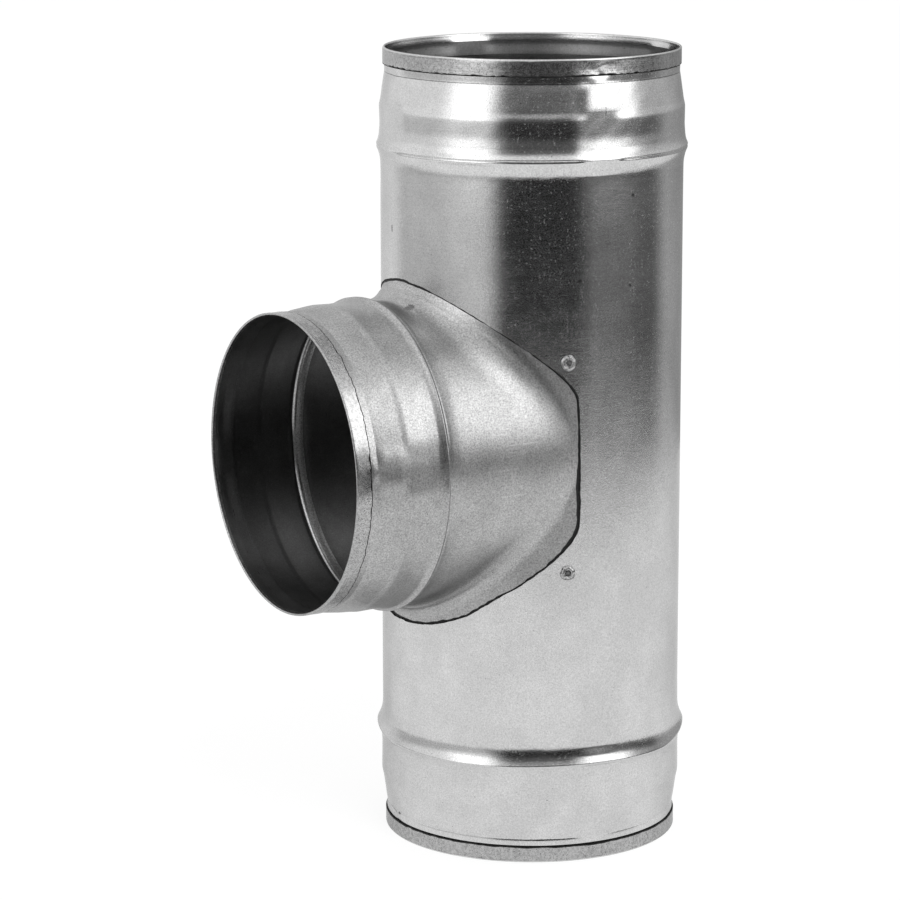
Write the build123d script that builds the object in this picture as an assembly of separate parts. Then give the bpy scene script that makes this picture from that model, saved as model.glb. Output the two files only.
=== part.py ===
from build123d import *
import os
from math import asin, cos, degrees, hypot, radians, sin, sqrt

# Equal duct tee of galvanised sheet, in millimetres.
# The origin is the centre of the lower mouth. +Z runs up the main pipe and +X out along the branch.

# Tube and overall lengths. An equal tee has one tube size, shared by all three mouths.
sheet = 0.5
tube_radius = 61.5
pipe_length = 325.0
branch_height = 165.0
branch_projection = 55.5

# Spigot form. Lengths run inward from the mouth. Depths and rises are counted from the plain
# tube's outside. The seat is the part that slides into the next duct, up to the stop bead. The
# lower mouth's bead is rolled a little further in than the other two, the rest is the same.
hem_width = 6.8
hem_depth = 1.1
shoulder_start = 9.0
shoulder_end = 19.8
shoulder_depth = 0.3
seat_start = 20.8
seat_rise = 0.5
bead_crest = 38.4
lower_bead_crest = 43.0
bead_rise = 2.4
bead_approach = 5.9
bead_fall = 6.1

# Opening in the main pipe and the saddle behind it. The fold is the bend between branch and saddle.
opening_half_angle = 76.1
opening_corner_radius = 37.0
edge_clearance = 0.35
saddle_clearance = 0.05
saddle_fold = 8.0
saddle_rim_gap = 0.9
flange_margin = 12.5

# Blind rivets, two on each side of the branch. The drop is how far the four sit below centre.
rivet_height = 42.5
rivet_drop = 1.9
rivet_edge_distance = 8.5
shank_radius = 1.6
hole_clearance = 0.05
head_radius = 3.5
head_height = 1.2
crater_radius = 1.3
crater_depth = 0.6
upset_radius = 2.4
upset_length = 3.0
seating_clearance = 0.02

# What follows from them.
pipe_inner_radius = tube_radius - sheet
hem_radius = tube_radius - hem_depth
neck_radius = hem_radius - sheet
saddle_radius = pipe_inner_radius - saddle_clearance
opening_half_width = tube_radius * sin(radians(opening_half_angle))
throat_reach = tube_radius * cos(radians(opening_half_angle))
throat_radius = opening_half_width - edge_clearance
branch_reach = tube_radius + branch_projection
collar_start = bead_crest + bead_fall
collar_end = branch_reach - collar_start
fold_room = collar_end - saddle_radius - sheet
fold = min(saddle_fold, fold_room)
opening_radius = tube_radius + fold + saddle_rim_gap
flange_radius = opening_radius + flange_margin


def spigot_corners(crest):
    """Corners of a spigot's outer skin, from the hem to the far foot of a bead at crest."""
    seat_radius = tube_radius + seat_rise
    crest_radius = tube_radius + bead_rise
    return [
        (shoulder_start, neck_radius),
        (shoulder_end, tube_radius - shoulder_depth),
        (seat_start, seat_radius),
        (crest - bead_approach, seat_radius),
        (crest, crest_radius),
        (crest + bead_fall, tube_radius),
    ]


def inner_skin(corners, start, end):
    """The same corners one sheet thickness further in, mitred so that the wall stays even."""
    path = [start, *corners, end]
    moved = []
    for before, here, after in zip(path, path[1:], path[2:]):
        into = (here[0] - before[0], here[1] - before[1])
        out = (after[0] - here[0], after[1] - here[1])
        side_in = (into[1] / hypot(*into), -into[0] / hypot(*into))
        side_out = (out[1] / hypot(*out), -out[0] / hypot(*out))
        share = sheet / (1 + side_in[0] * side_out[0] + side_in[1] * side_out[1])
        along = here[0] + share * (side_in[0] + side_out[0])
        radius = here[1] + share * (side_in[1] + side_out[1])
        moved.append((along, radius))
    return moved


def hem_corners():
    """The mouth, where the sheet is folded out and pressed flat: from the neck to the bore."""
    return [
        (hem_width, neck_radius),
        (hem_width, hem_radius),
        (0, hem_radius),
        (0, neck_radius - sheet),
    ]


def mouth_corners(crest, end):
    """Corners of one spigot's section: in along the bore from end, round the hem and back."""
    outer = spigot_corners(crest)
    inner = inner_skin(outer, (0, neck_radius), end)
    return [*reversed(inner), *reversed(hem_corners()), *outer]


def turned(corners):
    """The solid of revolution about Z of a section given by (height, radius) corners."""
    points = [(radius, 0, height) for height, radius in corners]
    return revolve(make_face(Polyline(*points, close=True)), Axis.Z)


def rolled_pipe():
    """The main tube with a spigot at both ends, before its opening is cut."""
    middle = (pipe_length / 2, tube_radius)
    lower = mouth_corners(lower_bead_crest, middle)
    upper = mouth_corners(bead_crest, middle)
    flipped = [(pipe_length - height, radius) for height, radius in reversed(upper)]
    return turned([*lower, *flipped])


def opening_prism(half_width, radius, corner_radius):
    """A rounded outline about the branch axis, carried out along the branch."""
    round_blank = Circle(radius)
    band = Rectangle(2 * radius, 2 * half_width)
    blank = round_blank & band
    corners = blank.vertices()
    rounded = fillet(corners, corner_radius)
    plane = Plane(origin=(0, 0, branch_height), x_dir=(0, 0, 1), z_dir=(1, 0, 0))
    return extrude(plane * rounded, amount=2 * tube_radius)


def rivet_places():
    """Polar angle and height of each rivet, just outside the opening's rounded corners."""
    centre_y = opening_half_width - opening_corner_radius
    centre_z = sqrt((opening_radius - opening_corner_radius) ** 2 - centre_y**2)
    edge_y = centre_y + sqrt(opening_corner_radius**2 - (rivet_height - centre_z) ** 2)
    angle = degrees(asin(edge_y / tube_radius) + rivet_edge_distance / tube_radius)
    return {
        "front_upper": (angle, rivet_height - rivet_drop),
        "front_lower": (angle, -rivet_height - rivet_drop),
        "rear_upper": (-angle, rivet_height - rivet_drop),
        "rear_lower": (-angle, -rivet_height - rivet_drop),
    }


def rivet_frame(place):
    """A frame on the main pipe's axis whose Z points out through the rivet."""
    angle, height = place
    outward = (cos(radians(angle)), sin(radians(angle)), 0)
    return Plane(origin=(0, 0, branch_height + height), x_dir=(0, 0, 1), z_dir=outward)


def rivet_holes():
    drill = Pos(0, 0, tube_radius / 2) * Cylinder(
        shank_radius + hole_clearance, tube_radius, align=(Align.CENTER, Align.CENTER, Align.MIN)
    )
    return [rivet_frame(place) * drill for place in rivet_places().values()]


def main_pipe():
    opening = opening_prism(opening_half_width, opening_radius, opening_corner_radius)
    return rolled_pipe() - opening - rivet_holes()


def flared_tube(pipe_radius, mouth_radius, side_radius, fold_radius):
    """Half of a tube about Z with a tapered branch along +X, blended where they meet."""
    height = 4 * tube_radius
    tube = Pos(0, 0, branch_height) * Cylinder(pipe_radius, height)
    taper = (mouth_radius - side_radius) / (collar_end - throat_reach)
    root_radius = side_radius - taper * throat_reach
    cone = Cone(root_radius, mouth_radius, collar_end, align=(Align.CENTER, Align.CENTER, Align.MIN))
    branch = Plane(origin=(0, 0, branch_height), z_dir=(1, 0, 0)) * cone
    joined = tube + branch
    meeting = joined.edges().filter_by(GeomType.CIRCLE, reverse=True)
    meeting = meeting.filter_by(GeomType.LINE, reverse=True)
    return fillet(meeting, fold_radius)


def saddle():
    """The flared part of the collar, one sheet thick, trimmed to its flange."""
    outside = flared_tube(saddle_radius, tube_radius, throat_radius, fold)
    inside = flared_tube(
        saddle_radius - sheet, tube_radius - sheet, throat_radius - sheet, fold + sheet
    )
    flange = Plane(origin=(0, 0, branch_height), z_dir=(1, 0, 0)) * Cylinder(
        flange_radius, collar_end, align=(Align.CENTER, Align.CENTER, Align.MIN)
    )
    return (outside - inside) & flange


def spigot():
    """The branch mouth, from its hem to the foot of its stop bead, where it ends square."""
    section = mouth_corners(bead_crest, (branch_reach, tube_radius))
    section[0] = (collar_start, tube_radius - sheet)
    at_mouth = Plane(origin=(branch_reach, 0, branch_height), z_dir=(-1, 0, 0))
    return at_mouth * turned(section)


def branch_collar():
    return spigot() + saddle() - rivet_holes()


def rivet(place):
    """A set blind rivet: domed head with its crater outside, shank, and upset end inside."""
    seat = tube_radius + seating_clearance
    upset_face = sqrt((saddle_radius - sheet) ** 2 - upset_radius**2) - seating_clearance
    section = [
        (seat + head_height - crater_depth, 0),
        (seat + head_height - crater_depth, crater_radius),
        (seat + head_height, crater_radius),
        (seat, head_radius),
        (seat, shank_radius),
        (upset_face, shank_radius),
        (upset_face, upset_radius),
        (upset_face - upset_length, upset_radius),
        (upset_face - upset_length, 0),
    ]
    return rivet_frame(place) * turned(section)


os.makedirs("parts", exist_ok=True)
export_step(main_pipe(), "parts/main_pipe.step")
export_step(branch_collar(), "parts/branch_collar.step")
for name, place in rivet_places().items():
    export_step(rivet(place), f"parts/rivet_{name}.step")
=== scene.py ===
import math

import bpy
import numpy as np
from mathutils import Matrix, Vector

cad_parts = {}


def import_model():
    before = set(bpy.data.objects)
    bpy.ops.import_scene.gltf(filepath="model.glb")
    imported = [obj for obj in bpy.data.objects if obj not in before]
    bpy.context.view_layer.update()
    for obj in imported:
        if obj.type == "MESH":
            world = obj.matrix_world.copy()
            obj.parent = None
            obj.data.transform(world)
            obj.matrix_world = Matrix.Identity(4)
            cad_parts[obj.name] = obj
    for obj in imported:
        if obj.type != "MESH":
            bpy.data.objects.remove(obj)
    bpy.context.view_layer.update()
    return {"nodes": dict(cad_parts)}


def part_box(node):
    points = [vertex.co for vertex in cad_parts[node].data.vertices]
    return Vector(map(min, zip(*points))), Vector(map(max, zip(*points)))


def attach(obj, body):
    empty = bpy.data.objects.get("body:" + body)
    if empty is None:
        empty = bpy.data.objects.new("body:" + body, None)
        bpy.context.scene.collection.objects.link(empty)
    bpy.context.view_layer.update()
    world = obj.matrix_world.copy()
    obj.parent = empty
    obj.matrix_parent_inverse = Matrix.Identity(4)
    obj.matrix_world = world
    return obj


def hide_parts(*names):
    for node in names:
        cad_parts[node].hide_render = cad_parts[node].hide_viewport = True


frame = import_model()

# Sizes are in millimetres until a mesh is made.
MM = 0.001

# Taken from the frame. The crest stays just inside the solid's.
PIPE_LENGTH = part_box("main_pipe")[1].z / MM
CREST_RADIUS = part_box("main_pipe")[1].y / MM - 0.02
BRANCH_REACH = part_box("branch_collar")[1].x / MM
BRANCH_HEIGHT = (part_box("branch_collar")[0].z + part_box("branch_collar")[1].z) / 2 / MM

# Sheet and tubes.
SHEET = 0.5
TUBE_RADIUS = 61.5
SADDLE_RADIUS = TUBE_RADIUS - SHEET - 0.05

# Spigot form. Lengths run inward from the mouth.
HEM_WIDTH = 6.8
HEM_RADIUS = 60.4
NECK_START = 7.0
NECK_RADIUS = 59.8
PLAIN_START = 62.0
# Corners of the form, as distance from the mouth and outer radius: where it is fully rolled, and
# at the breaks, where the ridge fades out.
FULL_FORM = [
    (NECK_START, 59.86), (9.2, 59.76), (10.0, 59.77), (10.6, 59.86), (11.4, 60.02), (21.0, 61.4),
    (23.0, 61.85), (23.8, 61.95), (25.0, 61.95), (31.0, 61.79), (33.0, 61.92), (35.0, 62.15),
    (36.5, 62.45), (37.5, 62.77), (38.3, 63.15), (38.9, 63.5), (39.4, CREST_RADIUS + 0.1),
    (40.4, 63.45), (41.6, 62.85), (42.6, 62.45), (43.6, 62.15), (44.6, 61.91), (45.4, 61.75),
    (45.8, 61.69), (46.6, 61.6), (47.8, 61.55), (50.0, 61.52), (55.0, TUBE_RADIUS),
]
BREAK_FORM = [
    (NECK_START, 59.7), (7.7, 60.0), (11.0, 60.45), (18.5, 61.45), (20.0, 61.62),
    (31.0, 61.54), (33.0, 61.68), (36.2, 62.15), (38.1, 62.85), (39.4, CREST_RADIUS + 0.05),
    (42.4, 62.55), (45.8, 61.64), (50.0, 61.54), (55.0, TUBE_RADIUS),
]
FORM_SOFTNESS = 0.2
FORM_STEP = 0.05
BEAD_CREST = 39.3
CREST_REACH = 3.0
# How high a bead is rolled, as a share of the form's.
UPPER_BEAD_SHARE = 0.86
BRANCH_BEAD_SHARE = 0.84
# How much further in the lower bead is rolled, by polar angle in degrees. The seat between the
# two stretch places is drawn out for it.
LOWER_BEAD_SHIFT = [
    (-180, 4.2), (-60, 4.4), (-32, 4.4), (-6, 1.9), (15, 1.8), (45, 1.6), (62, 1.6), (118, 1.4),
    (147, 5.4), (180, 4.2),
]
NO_SHIFT = [(0, 0.0), (1, 0.0)]
STRETCH_START = 24.0
STRETCH_END = 33.0
# Fine creases: distance from the mouth, depth (or height, if below 0) and half width.
NECK_CREASE = (9.85, 0.04, 0.28)
UPPER_CREASES = [(39.6, 0.52, 0.5)]
LOWER_CREASES = [(9.7, 0.16, 0.5)]
BRANCH_CREASES = [NECK_CREASE, (36.9, 0.12, 0.7), (38.9, -0.35, 0.65), (40.3, 0.30, 0.5)]
# Where the segments of the rolling tool met, in degrees, with half widths and soft edges.
BREAKS = [-6.6, 83.4, 173.4, 263.4]
BREAK_HALF_WIDTH = 7.2
BREAK_EDGE = 3.2
NECK_BREAK_HALF_WIDTH = 2.8
NECK_BREAK_EDGE = 2.5
HEM_STEP_EDGE = 2.0
HEM_SINK_EDGE = 4.0
# The form of the neck gives way to that of the seat between these distances.
NECK_FADE = (12.0, 9.0)

# What handling and rolling did to a mouth: depths, apart from the lower hem's width and the
# pinch's half width in degrees.
SWAY = 0.05
RIPPLE = 0.018
CREST_SINK = 0.03
BEAD_SWAY = 0.12
HEM_CRUMPLES = (0.008, 0.012)
HEM_SINK = 0.30
HEM_STEP = 0.25
HEM_ROUGH = 0.16
LOWER_HEM_ROUGH = 0.07
LOWER_HEM_WIDTH = 6.45
PINCH_DEPTH = 0.32
PINCH_HALF_WIDTH = 1.7

# Inside of a hem: its clearance, how far it is pressed wide, how far its lip flares and how
# deep the lip's rounding is, then the distances between which each of these sets in or ends, and
# where its rows lie.
BORE_CLEARANCE = 0.15
BORE_PRESS = 0.45
LIP_FLARE = 0.5
LIP_DEPTH = 0.55
PRESS_RISE = (0.8, 4.2)
PRESS_FADE = (8.0, 5.4)
FLARE_RISE = (3.4, 0.6)
BORE_START = 9.0
BORE_ROWS = (BORE_START, 7.2, 5.4, 4.2, 3.2, 2.4, 1.6, 0.8)

# Free edge of a hem: how far its corner is worn down, how deep its face is and how far that leans
# out. Then the gap under it, as distances back from the edge and depths below the fold's
# underside, and the bottom of that gap, as distance from the mouth and radius.
HEM_EDGE_WEAR = 0.08
HEM_EDGE_DEPTH = 0.42
HEM_EDGE_LEAN = 0.02
HEM_GAP = [(0.6, 0.05), (3.0, 0.08), (3.0, 0.3)]
HEM_GAP_BOTTOM = (NECK_START - 0.3, 59.25)

# Opening in the pipe, seen along the branch.
OPENING_RADIUS = 70.4
OPENING_HALF_WIDTH = 59.7
OPENING_CORNER = 37.0
# How far the hand-cut edge strays outward from that shape, by angle from the top in degrees.
OPENING_STRAY = [
    (0, -1.0), (20, -1.5), (35, -1.8), (45, -2.3), (52, -2.1), (60, -1.5), (67, -0.8),
    (78, -0.1), (105, 0.0), (122, -0.5), (133, -0.7), (143, -0.3), (152, 1.2), (165, 0.9),
    (180, 0.2),
]
RIM_BAND = 1.2
RIM_BEVEL = 0.2
BURR = 0.07
CUT_SWAY = 0.06
# Half sizes of the area about the branch axis, on the unrolled sheet, that the opening lies in,
# and how far below that axis the pipe's rows begin to lie closer together.
OPENING_AREA = (95.0, 80.0)
OPENING_ZONE = 75.0

# Waves of the rolled wall: how deep its slow sag and its roll marks are.
SAG = 0.035
ROLL_MARK = 0.014

# Saddle of the collar.
THROAT_RADIUS = 58.9
THROAT_REACH = 14.8
COLLAR_END = 72.5
SADDLE_START = COLLAR_END - 1.0
# Radius of the fold between branch and saddle, by angle from the top in degrees.
SADDLE_FOLD = [
    (0, 8.0), (25, 11.0), (35, 13.0), (45, 17.0), (60, 22.0), (67, 24.0), (78, 19.0), (90, 10.0),
    (100, 8.0), (180, 8.0),
]
# How far the bends either side of the fold are eased along the sheet.
FOLD_EASE = 6.0
FLANGE_RADIUS = 82.9
# Width of the strip beside the opening's edge that is painted near black, as painted shade in the
# gap there, by angle from the top in degrees.
GAP_SHADE = [
    (0, 0.7), (25, 0.65), (40, 0.3), (62, 0.3), (75, 0.55), (100, 1.3), (112, 1.3), (125, 0.9),
    (180, 0.9),
]
GAP_RAGGED = 0.22
# Stretch of the inside of the branch's bead that catches the light, from its crest.
BRIGHT_GROOVE = (0.4, 4.2)

# How finely the meshes are divided.
COLUMNS = 256
HEM_COLUMNS = 384
RIM_POINTS = 720
RIVET_COLUMNS = 48
LIP_ROWS = 7
HEM_ROWS = 10
PLAIN_STEP = 4.5
OPENING_STEP = 2.4
BORE_STEP = 3.2
SADDLE_SAMPLES = 120
ROOT_ROUNDS = 8
ARC_SAMPLES = 200
EASE_SAMPLES = 13
# How many points are measured against a line at once, to save memory.
BATCH = 2000
# Rows of the saddle: up to the crowded stretch before the edge, in that stretch, and beyond.
SADDLE_ROWS = 26
CROWDED_STRETCH = 6
CROWDED_ROWS = 20
GAP_ROWS = 9

# The materials of a sheet, in the order of its material slots. The third is near black: painted
# shade on cut faces and in the gaps beside them.
# The fourth, for the insides, is a darker copy of the outside's metal: painted shade.
OUTSIDE, HEM, EDGE_SHADE, SHADED_BORE = range(4)


def spread(*stretches):
    """Places along a line: each stretch is (start, end, step)."""
    places = []
    for start, end, step in stretches:
        count = max(1, round(abs(end - start) / step))
        places.extend(np.linspace(start, end, count + 1)[:-1])
    places.append(stretches[-1][1])
    return np.array(places)


def waves(seed, low, high, falloff=0.5):
    """A wavy function of an angle in radians, about 1 in height, that closes on itself."""
    random = np.random.default_rng(seed)
    counts = np.unique(np.geomspace(low, high, 60).round()).astype(int)
    heights = random.normal(size=counts.size) / counts**falloff
    phases = random.uniform(0, 2 * math.pi, counts.size)
    scale = math.sqrt(2 / np.sum(heights**2))

    def height(angle):
        angle = np.asarray(angle, float)
        return scale * np.sum(heights * np.sin(counts * angle[..., None] + phases), axis=-1)

    return height


def smooth_step(value, start, end):
    """0 before start, 1 after end, smooth between. Start may be the larger."""
    share = np.clip((value - start) / (end - start), 0, 1)
    return share * share * (3 - 2 * share)


def rounded_form(corners):
    """Radius by distance from the mouth, along a line of corners with softened bends."""
    along = np.arange(NECK_START, PLAIN_START + 6, FORM_STEP)
    radius = np.interp(along, *zip(*corners))
    reach = np.arange(-4 * FORM_SOFTNESS, 4 * FORM_SOFTNESS + 0.01, FORM_STEP)
    kernel = np.exp(-((reach / FORM_SOFTNESS) ** 2) / 2)
    padded = np.pad(radius, reach.size // 2, mode="edge")
    softened = np.convolve(padded, kernel / kernel.sum(), mode="same")
    softened = softened[reach.size // 2 : reach.size // 2 + along.size]
    return lambda s: np.interp(s, along, softened)


full_form = rounded_form(FULL_FORM)
break_form = rounded_form(BREAK_FORM)


def break_share(angle, soft=BREAK_EDGE, half_width=BREAK_HALF_WIDTH):
    """1 inside the stretches where the rolled ridge and creases stop, else 0."""
    degrees = np.degrees(np.asarray(angle, float))
    share = np.zeros_like(degrees)
    for middle in BREAKS:
        off = np.abs((degrees - middle + 180) % 360 - 180)
        inside = 1 - smooth_step(off, half_width - soft, half_width + soft)
        share = np.maximum(share, inside)
    return share


class Mouth:
    """One rolled end: its form by angle and distance from the mouth, with its own dents."""

    def __init__(
        self, seed, creases, bead_shift=NO_SHIFT, bead_share=1.0, hem_rough=HEM_ROUGH,
        hem_width=HEM_WIDTH, pinch=0.0,
    ):
        self.creases = creases
        self.bead_shift = bead_shift
        self.bead_share = bead_share
        self.hem_rough = hem_rough
        self.hem_width = hem_width
        self.pinch = pinch
        self.sway = waves(seed, 2, 9, 1.0)
        self.ripple = waves(seed + 1, 8, 40, 0.8)
        self.edge = waves(seed + 2, 24, 250, 0.35)
        self.crumple = waves(seed + 3, 20, 180, 0.3)
        self.second_crumple = waves(seed + 4, 12, 120, 0.3)

    def unstretched(self, angle, s):
        """The distance in the common form: this mouth's seat may be longer than the form's."""
        turn = (np.degrees(angle) + 180) % 360 - 180
        shift = np.interp(turn, *zip(*self.bead_shift))
        if self.bead_shift is not NO_SHIFT:
            shift = shift + BEAD_SWAY * self.sway(angle)
        share = (STRETCH_END - STRETCH_START) / (STRETCH_END - STRETCH_START + shift)
        seat = STRETCH_START + (s - STRETCH_START) * share
        return np.where(s < STRETCH_START, s, np.where(s < STRETCH_END + shift, seat, s - shift))

    def radius(self, angle, s):
        """Outer radius of the rolled form, from the neck to the plain tube."""
        s = self.unstretched(angle, s)
        in_neck = smooth_step(s, *NECK_FADE)
        neck_share = break_share(angle, NECK_BREAK_EDGE, NECK_BREAK_HALF_WIDTH)
        share = (1 - in_neck) * break_share(angle) + in_neck * neck_share
        radius = (1 - share) * full_form(s) + share * break_form(s)
        for place, depth, half in self.creases:
            radius = radius - (1 - share) * depth * np.exp(-(((s - place) / half) ** 2))
        calm = smooth_step(s, PLAIN_START, PLAIN_START - 12)
        dent = SWAY * self.sway(angle + 0.01 * s) + RIPPLE * self.ripple(angle + 0.02 * s)
        near_crest = np.exp(-(((s - BEAD_CREST) / CREST_REACH) ** 2))
        sink = CREST_SINK * near_crest * (1 + self.sway(angle))
        radius = radius + calm * (1 - near_crest) * dent - sink
        lower = 1 - (1 - self.bead_share) * smooth_step(s, STRETCH_END, STRETCH_END + 3)
        return np.minimum(TUBE_RADIUS + (radius - TUBE_RADIUS) * lower, CREST_RADIUS)

    def hem_end(self, angle):
        """Where the ragged free edge of the hem lies. It steps back at the breaks."""
        step = HEM_STEP * break_share(angle, HEM_STEP_EDGE)
        return self.hem_width + self.hem_rough * self.edge(angle) - step

    def hem_radius(self, angle, s):
        """Outside of the hem, sunk at the breaks and pinched at one of them."""
        rough = HEM_CRUMPLES[0] * self.crumple(angle + 0.04 * s)
        rough = rough + HEM_CRUMPLES[1] * self.second_crumple(angle - 0.03 * s)
        dent = SWAY * self.sway(angle)
        across = np.sin(np.clip(s / HEM_WIDTH, 0, 1) * math.pi)
        sunk = HEM_SINK * break_share(angle, HEM_SINK_EDGE) * across
        off = np.degrees(np.asarray(angle, float)) - BREAKS[1] - 1.5 * np.sin(s)
        near_pinch = np.exp(-((off / PINCH_HALF_WIDTH) ** 2))
        pinched = self.pinch * near_pinch * smooth_step(s, 1.0, 3.0)
        return HEM_RADIUS + rough + dent - sunk - pinched

    def bore(self, angle, s):
        """Inside of the fold. It widens inward, except at the breaks."""
        pressed = BORE_PRESS * smooth_step(s, *PRESS_RISE) * smooth_step(s, *PRESS_FADE)
        flare = LIP_FLARE * smooth_step(s, *FLARE_RISE)
        plain = NECK_RADIUS - 2 * SHEET + BORE_CLEARANCE
        return plain + (1 - break_share(angle)) * pressed + flare


class Sheet:
    """Collects grids of points, in millimetres, and turns them into one mesh."""

    def __init__(self):
        self.points = []
        self.faces = []
        self.kinds = []
        self.count = 0

    def grid(self, points, kind=OUTSIDE, turned=False, keep=None):
        """Adds rows of points that close into rings. Keep marks the quads wanted, if not all."""
        rows, columns = points.shape[:2]
        number = np.arange(rows * columns).reshape(rows, columns) + self.count
        after = np.roll(number, -1, axis=1)
        quads = np.stack([number[:-1], after[:-1], after[1:], number[1:]], axis=-1)
        if turned:
            quads = quads[..., ::-1]
        quads = quads[keep] if keep is not None else quads.reshape(-1, 4)
        self.points.append(points.reshape(-1, 3))
        self.faces.append(quads.reshape(-1, 4))
        self.kinds.append(np.full(len(self.faces[-1]), kind))
        self.count += rows * columns

    def build(self, name, materials, sharp=40):
        points = np.concatenate(self.points) * MM
        faces = np.concatenate(self.faces)
        used, faces = np.unique(faces, return_inverse=True)
        points, faces = points[used], faces.reshape(-1, 4)
        mesh = bpy.data.meshes.new(name)
        mesh.from_pydata(points.tolist(), [], faces.tolist())
        for material in materials:
            mesh.materials.append(material)
        mesh.polygons.foreach_set("material_index", np.concatenate(self.kinds).astype(np.int32))
        mesh.polygons.foreach_set("use_smooth", np.ones(len(faces), bool))
        mesh.set_sharp_from_angle(angle=math.radians(sharp))
        mesh.update()
        piece = bpy.data.objects.new(name, mesh)
        bpy.context.scene.collection.objects.link(piece)
        return piece


def turned_about_z(radius, angle, height):
    return np.stack([radius * np.cos(angle), radius * np.sin(angle), height], axis=-1)


def turned_about_x(radius, angle, along):
    """Angle 0 is up, and 90 degrees is towards +Y."""
    return np.stack(
        [along, radius * np.sin(angle), BRANCH_HEIGHT + radius * np.cos(angle)], axis=-1
    )


def add_hem(sheet, mouth, place, flip, bright_rows=1):
    """The folded edge of one mouth, from the bore round the fold to the free edge and under it.

    The last bright_rows of the bore have the outside's metal, as light falls in on them.
    """
    angle = np.linspace(0, 2 * math.pi, HEM_COLUMNS, endpoint=False)
    end = mouth.hem_end(angle)
    under = HEM_RADIUS - SHEET + 0.0 * angle
    rows = [(0 * angle + s, mouth.bore(angle, 0 * angle + s)) for s in BORE_ROWS]
    bore_end = len(rows) - 1
    bore = rows[-1][1]
    middle = (bore + HEM_RADIUS) / 2
    half = (HEM_RADIUS - bore) / 2
    for turn in np.linspace(0, math.pi, LIP_ROWS):
        rows.append((LIP_DEPTH * (1 - math.sin(turn)) + 0 * angle, middle - half * math.cos(turn)))
    outside = len(rows) - 1
    for share in np.linspace(0.12, 0.94, HEM_ROWS):
        s = share * end
        rows.append((s, mouth.hem_radius(angle, s)))
    rows.append((end, mouth.hem_radius(angle, end) - HEM_EDGE_WEAR))
    free_edge = len(rows) - 1
    # Under the free edge, into the gap between the fold and the neck, and back out to the neck.
    rows.append((end + HEM_EDGE_LEAN, mouth.hem_radius(angle, end) - HEM_EDGE_DEPTH))
    rows.extend((end - back, under - depth) for back, depth in HEM_GAP)
    rows.append((HEM_GAP_BOTTOM[0] + 0 * angle, HEM_GAP_BOTTOM[1] + 0 * angle))
    rows.append((NECK_START + 0 * angle, mouth.radius(angle, NECK_START + 0 * angle)))
    points = np.stack([place(radius, angle, s) for s, radius in rows])
    bright = bore_end - bright_rows
    sheet.grid(points[: bright + 1], kind=SHADED_BORE, turned=flip)
    sheet.grid(points[bright : outside + 1], kind=OUTSIDE, turned=flip)
    sheet.grid(points[outside:free_edge], kind=HEM, turned=flip)
    # The free edge and the gap under it take the near black: painted shade in that gap.
    sheet.grid(points[free_edge - 1 :], kind=EDGE_SHADE, turned=flip)


# Rows of a spigot, close together where its form bends.
SPIGOT_ROWS = spread(
    (NECK_START, 9.2, 0.55), (9.2, 10.6, 0.23), (10.6, 20.4, 1.5), (20.4, 25.0, 0.36),
    (25.0, 34.6, 1.4), (34.6, 37.0, 0.45), (37.0, 46.0, 0.28), (46.0, 48.6, 0.5),
    (48.6, 51.0, 0.75), (51.0, PLAIN_START, 1.7),
)
sag = waves(51, 2, 14, 0.9)
roll_marks = waves(52, 10, 60, 0.6)


def plain_dents(angle, height):
    """Small departures of the rolled sheet from a true tube."""
    calm = np.sin(np.clip((height - PLAIN_START) / (PIPE_LENGTH - 2 * PLAIN_START), 0, 1) * math.pi)
    slow = sag(angle + 0.002 * height) * np.cos(height / 41.0 + 0.7)
    return calm * (SAG * slow + ROLL_MARK * roll_marks(angle) * np.cos(height / 67.0))


lower_mouth = Mouth(
    11, LOWER_CREASES, LOWER_BEAD_SHIFT, hem_rough=LOWER_HEM_ROUGH, hem_width=LOWER_HEM_WIDTH
)
upper_mouth = Mouth(21, UPPER_CREASES, bead_share=UPPER_BEAD_SHARE, pinch=PINCH_DEPTH)
branch_mouth = Mouth(31, BRANCH_CREASES, bead_share=BRANCH_BEAD_SHARE)


def pipe_radius(angle, height):
    angle, height = np.broadcast_arrays(angle, height)
    radius = TUBE_RADIUS + plain_dents(angle, height)
    low = height < PLAIN_START
    high = height > PIPE_LENGTH - PLAIN_START
    radius = np.where(low, lower_mouth.radius(angle, height), radius)
    return np.where(high, upper_mouth.radius(angle, PIPE_LENGTH - height), radius)


def opening_outline(count):
    """Points of the opening's edge, seen along the branch: across and up from its axis."""
    centre_y = OPENING_HALF_WIDTH - OPENING_CORNER
    centre_z = math.sqrt((OPENING_RADIUS - OPENING_CORNER) ** 2 - centre_y**2)
    lean = math.atan2(centre_y, centre_z)
    top = np.linspace(0, lean, ARC_SAMPLES)
    corner = np.linspace(lean, math.pi / 2, ARC_SAMPLES)
    across = np.concatenate(
        [OPENING_RADIUS * np.sin(top), centre_y + OPENING_CORNER * np.sin(corner), [OPENING_HALF_WIDTH]]
    )
    up = np.concatenate([OPENING_RADIUS * np.cos(top), centre_z + OPENING_CORNER * np.cos(corner), [0]])
    across = np.concatenate([across, across[::-1], -across, -across[::-1]])
    up = np.concatenate([up, -up[::-1], -up, up[::-1]])
    around = TUBE_RADIUS * np.arcsin(across / TUBE_RADIUS)
    path = np.stack([around, up], axis=-1)
    steps = np.hypot(*np.diff(path, axis=0, append=path[:1]).T)
    length = np.concatenate([[0], np.cumsum(steps)])
    wanted = np.linspace(0, length[-1], count, endpoint=False)
    closed = np.concatenate([path, path[:1]])
    even = np.stack([np.interp(wanted, length, closed[:, i]) for i in (0, 1)], axis=-1)
    across = TUBE_RADIUS * np.sin(even[:, 0] / TUBE_RADIUS)
    half_turn = np.degrees(np.arctan2(np.abs(across), even[:, 1]))
    return grown(even, np.interp(half_turn, *zip(*OPENING_STRAY)))


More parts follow.
